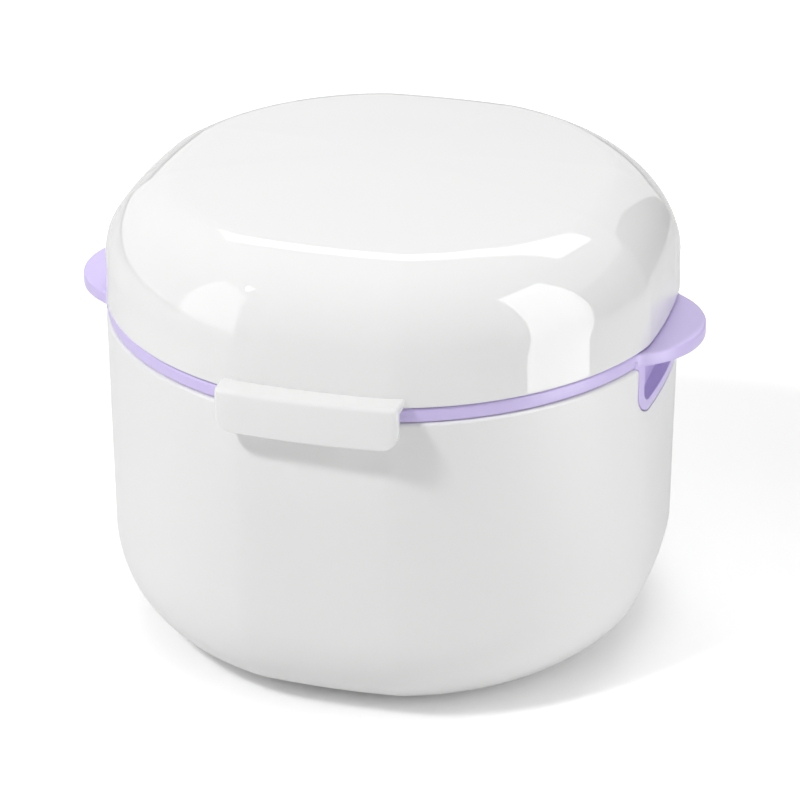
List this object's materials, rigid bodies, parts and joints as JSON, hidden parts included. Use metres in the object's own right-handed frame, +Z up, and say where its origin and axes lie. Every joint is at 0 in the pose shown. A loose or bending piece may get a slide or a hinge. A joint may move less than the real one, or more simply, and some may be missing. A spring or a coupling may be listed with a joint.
{
  "type": "denture case",
  "caption": "Round-cornered white denture bath with a hinged domed lid, front lift tab and a lavender strainer basket with finger ears.",
  "frame": {"origin": "under the middle of the cup, on the surface it stands on", "axes": "+Z up, -Y towards the front with the lift tab, X through the two ears"},
  "size_m": [0.1044, 0.1013, 0.0801],
  "materials": {
    "cup_plastic": "white moulded plastic, satin gloss",
    "basket_plastic": "lavender moulded plastic, satin",
    "lid_plastic": "white moulded plastic, polished",
    "pin_steel": "drawn stainless steel wire"
  },
  "bodies": {
    "root": {"case_cup": "cup_plastic", "strainer_basket": "basket_plastic", "hinge_pin": "pin_steel"},
    "lid": {"lid": "lid_plastic"}
  },
  "joints": [
    {"name": "lid_hinge", "type": "hinge", "parent": "root", "child": "lid", "pos_m": [0, 0.0489, 0.0563], "axis": [-1, 0, 0], "range_deg": [0, 110]}
  ]
}
